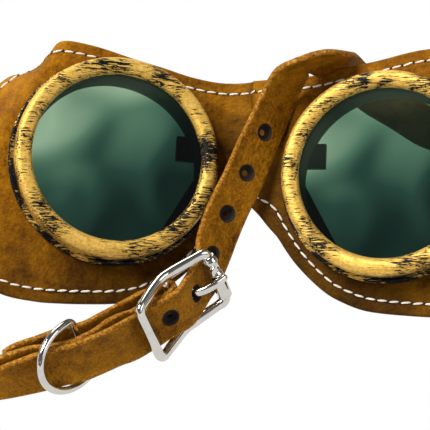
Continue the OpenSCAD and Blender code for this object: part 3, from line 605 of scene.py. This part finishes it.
def plain(name, base, roughness, metallic=0.0, coat=0.0, grain=0.0, mottled=None):
    """A material of one colour with slight cloudiness and fine bump, for metal, rubber and thread."""
    m, t, s = material(name)
    here = add(t, "ShaderNodeTexCoord")
    cloud = cloudy(t, (here, "Object"), 420.0, 4.0)
    tint = ramp(t, cloud, [(0.35, base), (0.65, mottled or base)])
    rough = ramp(t, cloud, [(0.3, max(roughness - 0.04, 0)), (0.7, roughness + 0.05)])
    feed(t, s, {"Base Color": (tint, 0), "Roughness": (rough, 0), "Metallic": metallic, "Coat Weight": coat})
    if grain:
        fine = cloudy(t, (here, "Object"), 1500.0, 2.0)
        bump = add(t, "ShaderNodeBump", {"Height": (fine, 0), "Distance": 0.0001, "Strength": grain})
        feed(t, s, {"Normal": (bump, 0)})
    return m


def dark_glass(name, h):
    """Green welding glass, polished on both faces; its tint carries painted light and shade, lighter at the
    upper outside and dark below, where the shadowed floor shows through.
    """
    m, t, s = material(name)
    place = in_cup(t, h)
    # painted light and shade: a blotchy grade, lighter towards the upper outside and darker towards the
    # bottom
    light_blotches = cloudy(t, (place, 0), 34.0, 1.0, Roughness=0.4, Distortion=0.8)
    part = add(t, "ShaderNodeSeparateXYZ", {0: (place, 0)})
    across = maths(t, "MULTIPLY_ADD", (part, "X"), -7.0 if h == LEFT else -3.0, (light_blotches, 0))
    painted_light_grade = maths(t, "MULTIPLY_ADD", (part, "Y"), 13.0, (across, 0))
    tint = ramp(t, painted_light_grade, [(0.22, "#0c1f1a"), (0.42, "#203e34"), (0.62, "#4b6f59"),
                           (0.85, bpy.context.scene.goggles_colours.glass)], 0)
    feed(t, s, {"Base Color": (tint, 0), "Roughness": 0.0, "Transmission Weight": 0.96, "IOR": 1.5})
    return m


# Sizes and colours that a user would change
class GogglesSizes(bpy.types.PropertyGroup):
    stitch_pitch: bpy.props.FloatProperty(name="Stitch pitch", description="Distance between stitches",
                                          default=0.0032, min=0.002, max=0.006, unit="LENGTH")
    stitch_length: bpy.props.FloatProperty(name="Stitch length", description="Seen length of a stitch",
                                           default=0.0028, min=0.001, max=0.005, unit="LENGTH")
    thread_width: bpy.props.FloatProperty(name="Thread width", description="Width of the thread",
                                          default=0.00062, min=0.0003, max=0.0012, unit="LENGTH")
    stitch_inset: bpy.props.FloatProperty(name="Stitch inset",
                                          description="From the leather's edge to the seam",
                                          default=3.3, min=2, max=6)


class GogglesColours(bpy.types.PropertyGroup):
    leather: bpy.props.StringProperty(name="Leather", description="Main leather colour, sRGB",
                                      default="#935d06")
    glass: bpy.props.StringProperty(name="Glass", description="Lens colour, sRGB", default="#87a387")
    thread: bpy.props.StringProperty(name="Thread", description="Seam thread colour, sRGB", default="#efe6d6")


def store():
    """Materials that several pieces share, made once."""
    if "Oiled pull-up leather, mask" in bpy.data.materials:
        return bpy.data.materials
    mid = bpy.context.scene.goggles_colours.leather
    pull_up_leather("Oiled pull-up leather, mask",
                    [(0.36, "#532d03"), (0.45, "#7c4a05"), (0.52, mid), (0.6, "#ab700c"), (0.68, "#c48921")],
                    [(0.3, "#351b04"), (0.5, "#6b3f08"), (0.7, "#94601a")], fringe=1.1, painted_shade_low=True)
    pull_up_leather("Oiled pull-up leather, strap",
                    [(0.36, "#442603"), (0.45, "#774905"), (0.52, "#935e09"), (0.6, "#a9710e"),
                     (0.68, "#c28b25")],
                    [(0.32, "#5f3708"), (0.48, "#9a6216"), (0.66, "#cc933e")], strength=1.2, freckle=0.8)
    pull_up_leather("Smooth lining leather", [(0.36, "#3a2512"), (0.5, "#5a3d22"), (0.65, "#6e4e30")],
                    [(0.3, "#3a2010"), (0.7, "#7a5230")], strength=0.6)
    rubbed_gold("Gold paint rubbed to black, left", LEFT)
    rubbed_gold("Gold paint rubbed to black, right", RIGHT)
    plain("Black enamel", "#07080a", 0.6, mottled="#0c0d0f", grain=0.1)
    plain("Black rubber", "#0b0b0b", 0.7, grain=0.3)
    plain("Polished nickel", "#dbd8d0", 0.07, metallic=1.0, mottled="#e4e1da")
    plain("Antique brass", "#8c6a30", 0.33, metallic=1.0, mottled="#a98344", grain=0.1)
    plain("Waxed linen thread", bpy.context.scene.goggles_colours.thread, 0.6, grain=0.4, mottled="#d8ccba")
    # painted shade for the pits of the stitch holes
    plain("Stitch hole, painted shade", "#120a06", 0.8)
    # painted shade: the punched walls are near black so the holes read dark
    plain("Punched hole wall, painted shade", "#130902", 0.9, grain=0.3, mottled="#241204")
    dark_glass("Dark green glass, left", LEFT)
    dark_glass("Dark green glass, right", RIGHT)
    return bpy.data.materials


# Stitches
def stitch_tree():
    """Geometry Nodes: rounded stitches along seam lines that carry the way out as 'out'."""
    t = bpy.data.node_groups.new("Stitch row", "GeometryNodeTree")
    t.interface.new_socket("Seam", in_out="INPUT", socket_type="NodeSocketGeometry")
    kinds = {"Seed": "NodeSocketInt", "Finish": "NodeSocketMaterial"}
    for name in ("Pitch", "Length", "Width", "Height", "Slide", "Slant", "Seed", "Finish"):
        t.interface.new_socket(name, in_out="INPUT", socket_type=kinds.get(name, "NodeSocketFloat"))
    t.interface.new_socket("Stitches", in_out="OUTPUT", socket_type="NodeSocketGeometry")
    i = add(t, "NodeGroupInput")
    line = add(t, "GeometryNodeMeshToCurve", {"Mesh": (i, "Seam")})
    even = add(t, "GeometryNodeResampleCurve", {"Curve": (line, 0), "Length": (i, "Pitch")}, mode="LENGTH")
    out = add(t, "GeometryNodeInputNamedAttribute", {"Name": "out"}, data_type="FLOAT_VECTOR")
    tangent = add(t, "GeometryNodeInputTangent")
    stand = add(t, "FunctionNodeAlignRotationToVector", {"Vector": (out, 0)}, axis="Z")
    lie = add(t, "FunctionNodeAlignRotationToVector", {"Rotation": (stand, 0), "Vector": (tangent, 0)},
              axis="X", pivot_axis="Z")
    chance = add(t, "FunctionNodeRandomValue", {2: -1.0, 3: 1.0, "Seed": (i, "Seed")}, data_type="FLOAT")
    wobble = maths(t, "MULTIPLY", (chance, 1), 0.07)
    spin = add(t, "ShaderNodeCombineXYZ", {"Z": (wobble, 0)})
    euler = add(t, "FunctionNodeEulerToRotation", {0: (spin, 0)})
    turned = add(t, "FunctionNodeRotateRotation", {"Rotation": (lie, 0), "Rotate By": (euler, 0)},
                 rotation_space="LOCAL")
    ball = add(t, "GeometryNodeMeshUVSphere", {"Segments": 10, "Rings": 7, "Radius": 0.5})
    size = add(t, "ShaderNodeCombineXYZ", {"X": (i, "Length"), "Y": (i, "Width"), "Z": (i, "Height")})
    place = add(t, "ShaderNodeCombineXYZ", {"X": (i, "Slide")})
    slant = add(t, "ShaderNodeCombineXYZ", {"Z": (i, "Slant")})
    shaped = add(t, "GeometryNodeTransform", {"Geometry": (ball, 0), "Scale": (size, 0),
                                              "Rotation": (slant, 0), "Translation": (place, 0)})
    smoothed = add(t, "GeometryNodeSetShadeSmooth", {0: (shaped, 0)})
    row = add(t, "GeometryNodeInstanceOnPoints", {"Points": (even, 0), "Instance": (smoothed, 0),
                                                  "Rotation": (turned, 0)})
    real = add(t, "GeometryNodeRealizeInstances", {0: (row, 0)})
    finish = add(t, "GeometryNodeSetMaterial", {0: (real, 0), "Material": (i, "Finish")})
    add(t, "NodeGroupOutput", {0: (finish, 0)})
    return t


def seam_lines(inset):
    """The two seams of the mask, top and bottom, each from one temple over the nose to the other."""
    e = edge(inset, 6, 2)
    m = len(smooth(OUTLINE, 6)) - 1
    tip = int(np.argmax(OUTLINE[:, 0])) * 6
    lines = []
    for picked in (e[:tip], e[tip:m + 1][::-1]):
        keep = picked[picked[:, 0] < 57.5]
        for_left, for_right = keep[::-1], keep[1:]
        points = np.concatenate([front(LEFT, for_left), front(RIGHT, for_right)])
        outs = np.concatenate([out_of(LEFT, for_left), out_of(RIGHT, for_right)])
        lines.append((points, outs))
    return lines


# One operator for each group of pieces
class GOGGLES_OT_mask(bpy.types.Operator):
    """Builds the outer leather and the lining"""
    bl_idname = "goggles.mask"
    bl_label = "Mask leather and lining"

    def execute(self, context):
        s = store()
        o = leather_layer("mask_cover", 0, LEATHER_T, 0, 36, 6, 22, 1.0, [s["Oiled pull-up leather, mask"]])
        finish_piece(o, "mask", "mask_leather", "mask_leather")
        near = LEATHER_T + LINING_GAP
        o = leather_layer("mask_inside", near, near + LINING_T, LINING_IN, 24, 4, 14, 0.6,
                          [s["Smooth lining leather"]])
        finish_piece(o, "mask", "lining_leather", "mask_lining")
        return {"FINISHED"}


class GOGGLES_OT_stitches(bpy.types.Operator):
    """Sews the mask's two seams"""
    bl_idname = "goggles.stitches"
    bl_label = "Stitches"

    def execute(self, context):
        s, z = store(), context.scene.goggles_sizes
        tree = stitch_tree()
        lines = seam_lines(z.stitch_inset)
        for name, length, width, height, slide, slant, lift, finish, seed in (
                ("seam_thread", z.stitch_length, z.thread_width, 0.0006, 0.0, 0.09, 0.04,
                 "Waxed linen thread", 3),
                # the second row is painted shade: dark dots where the stitch holes' pits lie
                ("seam_hole_shade", 0.0005, 0.00105, 0.0003, z.stitch_pitch / 2, -0.5, 0.0,
                 "Stitch hole, painted shade", 5)):
            points, outs, edges = [], [], []
            for p, n in lines:
                start = sum(len(x) for x in points)
                points.append(p + n * lift)
                outs.append(n)
                edges += [(start + i, start + i + 1) for i in range(len(p) - 1)]
            mesh = bpy.data.meshes.new(name)
            mesh.from_pydata(((np.concatenate(points) + SHIFT) * 0.001).tolist(), edges, [])
            mesh.attributes.new("out", "FLOAT_VECTOR", "POINT").data.foreach_set(
                "vector", np.concatenate(outs).astype(np.float32).ravel())
            o = bpy.data.objects.new(name, mesh)
            context.scene.collection.objects.link(o)
            mod = o.modifiers.new("row", "NODES")
            mod.node_group = tree
            ids = {x.name: x.identifier for x in tree.interface.items_tree
                   if getattr(x, "in_out", "") == "INPUT"}
            for key, value in (("Pitch", z.stitch_pitch), ("Length", length), ("Width", width),
                               ("Height", height),
                               ("Slide", slide), ("Slant", slant), ("Seed", seed), ("Finish", s[finish])):
                mod[ids[key]] = value
            finish_piece(o, "mask", "mask_leather")
        return {"FINISHED"}


class GOGGLES_OT_straps(bpy.types.Operator):
    """Builds both straps with their punched holes"""
    bl_idname = "goggles.straps"
    bl_label = "Straps"

    def execute(self, context):
        s = store()
        # the second finish paints the punched hole walls near black, painted shade in the holes
        leather = [s["Oiled pull-up leather, strap"], s["Punched hole wall, painted shade"]]
        o, p, reach = ribbon("long_strap", HOLE_SIDE, leather, 1.0)
        mid, ahead, out, _ = strap_frames(p)
        cutters = []
        for k in range(-4, 2):
            at = reach[PRONG_STATION * STRAP_STEPS] + k * PITCH + HOLE_SHIFT[k + 4]
            i = int(np.searchsorted(reach, at) - 1)
            f = (at - reach[i]) / (reach[i + 1] - reach[i])
            place = mid[i] * (1 - f) + mid[i + 1] * f
            r, b = HOLE_D / 2, STRAP_T / 2
            # the leather has drawn together round the hole's back, less where the prong keeps it open
            back = 0.62 if k == 0 else 0.42
            cutters.append(lathe("punch", [(r + 0.9, -b - 0.8), (r + 0.6, -b - 0.12), (r + 0.16, -b + 0.12),
                                           (r, -b + 0.35), (r * 0.95, b - 0.35), (r * back, b - 0.3),
                                           (r * back, b + 0.6)], place,
                                 np.column_stack([ahead[i], np.cross(out[i], ahead[i]), out[i]]), leather,
                                 40))
        cut(o, cutters)
        finish_piece(o, "mask", "strap_leather", "strap_hole_side")
        o, _, _ = ribbon("buckle_strap", BUCKLE_SIDE, leather, 6.0)
        bm = bmesh.new()
        bmesh.ops.create_cube(bm, size=1)
        slot = to_object("slot", [to_buckle([v.co.x * 9, v.co.y * 2.2, v.co.z * 10]) for v in bm.verts],
                         [[v.index for v in f.verts] for f in bm.faces], leather)
        bm.free()
        cut(o, [slot])
        finish_piece(o, "mask", "strap_leather", "strap_buckle_side")
        return {"FINISHED"}


class GOGGLES_OT_buckle(bpy.types.Operator):
    """Builds the buckle: frame, roller and prong"""
    bl_idname = "goggles.buckle"
    bl_label = "Buckle"

    def execute(self, context):
        nickel = [store()["Polished nickel"]]
        y, corner = BUCKLE_IN / 2 + RAIL_W / 2, 1.7
        # round the frame: a quarter circle at each corner, then straight to the next
        order = []
        for k, (sx, sy) in enumerate(((-1, -1), (1, -1), (1, 1), (-1, 1))):
            x = (ROLLER_REACH if sx > 0 else LEFT_REACH) - corner
            turns = [math.radians(180 + 90 * k + 15 * i) for i in range(7)]
            order += [(sx * x + corner * math.cos(a),
                       sy * (y - corner) + corner * math.sin(a)) for a in turns]
            to = ((ROLLER_REACH - corner, -y), (ROLLER_REACH, y - corner), (corner - LEFT_REACH, y),
                  (-LEFT_REACH, corner - y))[k]
            here = order[-1]
            order += [(here[0] + (to[0] - here[0]) * i / 14, here[1] + (to[1] - here[1]) * i / 14)
                      for i in range(1, 14)]
        path, wide, thick = [], [], []
        for x, yy in order:
            reach = ROLLER_REACH if x > 0 else LEFT_REACH
            rise = BAR_RISE * (abs(x) / reach) ** 1.15
            # the rails swell and bow out between their corners
            along_rail = math.cos(math.pi / 2 * min(1, abs(x + 1) / (reach + 1)))
            swell = along_rail * min(1, max(0, abs(yy) - 6.9) / 0.8)
            path.append(to_buckle([x, yy + math.copysign(0.5 * swell, yy), rise]))
            on_roller = x > ROLLER_REACH - 0.2 and abs(yy) < 6.95
            heavy = x > ROLLER_REACH - 2.6 and abs(yy) >= 6.95
            wide.append(1.06 if on_roller else 1.4 if heavy else 1.3 if x < -8 else 1.16 + 0.32 * swell)
            thick.append(1.06 if on_roller else 1.3 if heavy else 1.1 + 0.15 * swell)
        loop = sweep("loop", path, BUCKLE @ [0, 0, 1], wide, thick, nickel, closed=True, sides=24, square=2.5)
        bar = sweep("bar", [to_buckle([0, v, 0]) for v in np.linspace(-y, y, 9)], BUCKLE @ [0, 0, 1], 1.1,
                    1.1, nickel)
        finish_piece(join("buckle_loop", [loop, bar]), "buckle", "nickel_plate", "buckle_frame")

        turned = BUCKLE @ turn("X", -90)
        # half of the sleeve is drawn in to a neck between two rings
        end = BUCKLE_IN / 2 - 0.2
        o = lathe("roller_sleeve", [(1.2, -end), (1.8, -end), (1.96, -end + 0.2), (2.0, -end + 0.5),
                                    (2.0, 1.0),
                                    (1.92, 1.2), (1.66, 1.4), (1.66, 4.4), (1.92, 4.6), (2.0, 4.8),
                                    (2.0, 5.4),
                                    (1.92, 5.6), (1.66, 5.8), (1.66, end), (1.2, end)],
                  to_buckle([ROLLER_REACH, 0, BAR_RISE]), turned, nickel, 40, closed=True)
        finish_piece(o, "roller", "nickel_plate", "buckle_roller")

        over = BAR_RISE + 2 + 0.85
        line = smooth([[1.6, -0.3], [3.5, 0.3], [5, 2], [6.4, 3.9], [9, over - 0.8],
                       [ROLLER_REACH - 1.2, over - 0.05],
                       [ROLLER_REACH + 1.2, over]], 6)
        k = np.linspace(0, 1, len(line))
        taper = 1 - 0.75 * np.clip((k - 0.93) / 0.07, 0, 1) ** 2
        tongue = sweep("tongue", [to_buckle([a, 0, b]) for a, b in line], BUCKLE @ [0, 1, 0], 0.72 * taper,
                       (0.98 + 0.1 * np.sin(k * 3.1)) * taper, nickel, sides=24, square=2.3)
        eye = lathe("eye", [(1.19, -0.9), (2.2, -0.9), (2.36, -0.65), (2.36, 0.65), (2.2, 0.9), (1.19, 0.9)],
                    to_buckle([0, 0, 0]), turned, nickel, 40, closed=True)
        finish_piece(join("prong_tongue", [tongue, eye]), "prong", "nickel_plate", "buckle_prong")
        return {"FINISHED"}


class GOGGLES_OT_keeper(bpy.types.Operator):
    """Builds the keeper ring"""
    bl_idname = "goggles.keeper"
    bl_label = "Keeper ring"

    def execute(self, context):
        a, b, k = RING_BOW, RING_H / 2, 1.9
        arm = RING_BACK - k
        lift = b * math.sqrt(1 - (arm / a) ** 2)
        bow0 = math.acos(arm / a)
        flat = [(a * math.cos(t), b * math.sin(t)) for t in np.linspace(bow0, 2 * math.pi - bow0, 90)]
        flat += [(arm + k * math.sin(t), -lift + k * (1 - math.cos(t)))
                 for t in np.linspace(0, math.pi / 2, 9)[1:]]
        flat += [(RING_BACK, -lift + k + 2 * (lift - k) * i / 12) for i in range(1, 12)]
        flat += [(arm + k * math.cos(t), lift - k + k * math.sin(t))
                 for t in np.linspace(0, math.pi / 2, 9)[:-1]]
        path = [RING_AT + x * RING_OUT + z * RING_UP for x, z in flat]
        wide = [1.0 if x < RING_BACK - 0.5 else 0.95 for x, z in flat]
        o = sweep("keeper_wire", path, unit(np.cross(RING_OUT, RING_UP)), wide, 1.0,
                  [store()["Polished nickel"]],
                  closed=True, sides=20)
        finish_piece(o, "keeper", "nickel_plate", "keeper_ring")
        return {"FINISHED"}


class GOGGLES_OT_metal(bpy.types.Operator):
    """Gives the cups, rings, lenses and rivets their finish"""
    bl_idname = "goggles.metal"
    bl_label = "Cups, rings, lenses and rivets"

    def execute(self, context):
        s = store()
        finish = {"collar": "Gold paint rubbed to black, {0}", "eyecup": "Black enamel",
                  "gasket": "Black rubber", "lens": "Dark green glass, {0}", "wing_rivets": "Antique brass"}
        # the bezel's side wall, its rounded rim over the glass, and the bore that screws on the barrel
        wall = [(26.28, 2.25), (27.85, 2.25), (BEZEL_R, 2.5), (BEZEL_R, 3.7), (27.9, 3.85), (27.9, 4.05),
                (BEZEL_R, 4.2)]
        mid_r, out_r, in_r, low, high = 25.9, BEZEL_R - 25.9, 25.9 - EYE_R, 6.1, 2.4
        rim = [(mid_r + (out_r if math.cos(a) > 0 else in_r) *
                math.copysign(abs(math.cos(a)) ** 0.8, math.cos(a)),
                low + high * math.sin(a) ** 0.85) for a in np.linspace(0, math.pi, 23)]
        for h, side in ((LEFT, "left"), (RIGHT, "right")):
            for part, name in finish.items():
                dress(NODES[f"{side}_{part}"], s[name.format(side)])
            o = lathe(f"{side}_ring", wall + rim + [(EYE_R + 0.3, 5.85), (26.28, 5.85)], CUP_AT[h], CUP[h],
                      [s[f"Gold paint rubbed to black, {side}"]], 144, closed=True)
            finish_piece(o, f"{side}_bezel", "aged_brass", f"{side}_bezel")
        dress(NODES["fold_rivets"], s["Antique brass"])
        return {"FINISHED"}


def dress(node, finish):
    """Gives a CAD node a finish."""
    node.data.materials.clear()
    node.data.materials.append(finish)


class GOGGLES_OT_stage(bpy.types.Operator):
    """Sets the pale floor, the lamps and the camera"""
    bl_idname = "goggles.stage"
    bl_label = "Stage"

    def execute(self, context):
        scene = context.scene
        scene.view_settings.view_transform = "Standard"
        m, t, shader = material("Pale studio floor")
        feed(t, shader, {"Base Color": (0.8, 0.8, 0.8, 1), "Roughness": 0.9, "Specular IOR Level": 0.0})
        path = add(t, "ShaderNodeLightPath")
        # how bright the floor is in a reflection, and through the lenses
        in_mirror, through_glass = 0.8, 0.46
        shiny = maths(t, "MULTIPLY", (path, "Is Glossy Ray"), in_mirror)
        through = maths(t, "MULTIPLY_ADD", (path, "Is Transmission Ray"), through_glass, (shiny, 0))
        seen = maths(t, "ADD", (path, "Is Camera Ray"), (through, 0))
        mirrored = maths(t, "MAXIMUM", (path, "Is Glossy Ray"), (path, "Is Camera Ray"))
        either = maths(t, "MAXIMUM", (mirrored, 0), (path, "Is Transmission Ray"))
        glow = add(t, "ShaderNodeEmission", {"Color": (1, 1, 1, 1), "Strength": (seen, 0)})
        mix = add(t, "ShaderNodeMixShader", {0: (either, 0), 1: (shader, 0), 2: (glow, 0)})
        feed(t, next(n for n in t.nodes if n.type == "OUTPUT_MATERIAL"), {"Surface": (mix, 0)})
        mesh = bpy.data.meshes.new("floor")
        mesh.from_pydata([(-4, -4, 0), (4, -4, 0), (4, 4, 0), (-4, 4, 0)], [], [(0, 1, 2, 3)])
        mesh.materials.append(m)
        floor = bpy.data.objects.new("floor", mesh)
        scene.collection.objects.link(floor)

        world = bpy.data.worlds.new("studio")
        world.use_nodes = True
        scene.world = world
        t = world.node_tree
        t.nodes.clear()
        where = add(t, "ShaderNodeTexCoord")
        split = add(t, "ShaderNodeSeparateXYZ", {0: (where, "Generated")})
        wavy = cloudy(t, (where, "Generated"), 1.6, 2.0)
        height = maths(t, "MULTIPLY_ADD", (wavy, 0), 0.7, (split, "Z"))
        bands = ramp(t, height, [(0.36, 0.8), (0.45, 1.0), (0.55, 0.95), (0.62, 0.04), (0.74, 0.03),
                                 (0.79, 0.7), (0.84, 0.12), (1.0, 0.1)], 0)
        path = add(t, "ShaderNodeLightPath")
        lit = add(t, "ShaderNodeBackground", {"Color": (1, 1, 1, 1), "Strength": 0.34})
        mirrored = add(t, "ShaderNodeBackground", {"Color": (bands, 0), "Strength": 1.0})
        white = add(t, "ShaderNodeBackground", {"Color": (1, 1, 1, 1), "Strength": 1.0})
        one = add(t, "ShaderNodeMixShader", {0: (path, "Is Glossy Ray"), 1: (lit, 0), 2: (mirrored, 0)})
        two = add(t, "ShaderNodeMixShader", {0: (path, "Is Camera Ray"), 1: (one, 0), 2: (white, 0)})
        add(t, "ShaderNodeOutputWorld", {0: (two, 0)})

        for name, at, size, power in (("key", (-0.5, -0.1, 0.85), 0.45, 13.0),
                                      ("fill", (0.8, -0.35, 0.6), 0.7, 2.2),
                                      ("back", (-0.3, 0.9, 0.8), 0.5, 3.5)):
            lamp = bpy.data.lights.new(name, "AREA")
            lamp.size, lamp.energy = size, power
            o = bpy.data.objects.new(name, lamp)
            o.location = at
            o.rotation_mode = "QUATERNION"
            o.rotation_quaternion = (Vector((0, 0, 0.03)) - Vector(at)).to_track_quat("-Z", "Y")
            scene.collection.objects.link(o)

        camera = bpy.data.cameras.new("camera")
        camera.lens, camera.sensor_width = 140.2, 36
        camera.clip_start, camera.clip_end = 0.01, 20
        o = bpy.data.objects.new("camera", camera)
        o.location = (-0.00057, -0.37538, 0.27605)
        o.rotation_euler = (math.radians(56), 0, 0)
        scene.collection.objects.link(o)
        scene.camera = o
        return {"FINISHED"}


class GOGGLES_PT_panel(bpy.types.Panel):
    """Lists the builders"""
    bl_label = "Leather goggles"
    bl_space_type = "VIEW_3D"
    bl_region_type = "UI"
    bl_category = "Goggles"

    def draw(self, context):
        for group in (context.scene.goggles_sizes, context.scene.goggles_colours):
            for key in group.__annotations__:
                self.layout.prop(group, key)
        for one in OPERATORS:
            self.layout.operator(one.bl_idname)


OPERATORS = (GOGGLES_OT_mask, GOGGLES_OT_stitches, GOGGLES_OT_straps, GOGGLES_OT_buckle, GOGGLES_OT_keeper,
             GOGGLES_OT_metal, GOGGLES_OT_stage)
CLASSES = (GogglesSizes, GogglesColours, *OPERATORS, GOGGLES_PT_panel)


def register():
    for one in CLASSES:
        bpy.utils.register_class(one)
    bpy.types.Scene.goggles_sizes = bpy.props.PointerProperty(type=GogglesSizes)
    bpy.types.Scene.goggles_colours = bpy.props.PointerProperty(type=GogglesColours)


def unregister():
    del bpy.types.Scene.goggles_sizes, bpy.types.Scene.goggles_colours
    for one in reversed(CLASSES):
        bpy.utils.unregister_class(one)


def main():
    register()
    for one in OPERATORS:
        group, name = one.bl_idname.split(".")
        getattr(getattr(bpy.ops, group), name)()


if __name__ == "__main__":
    main()
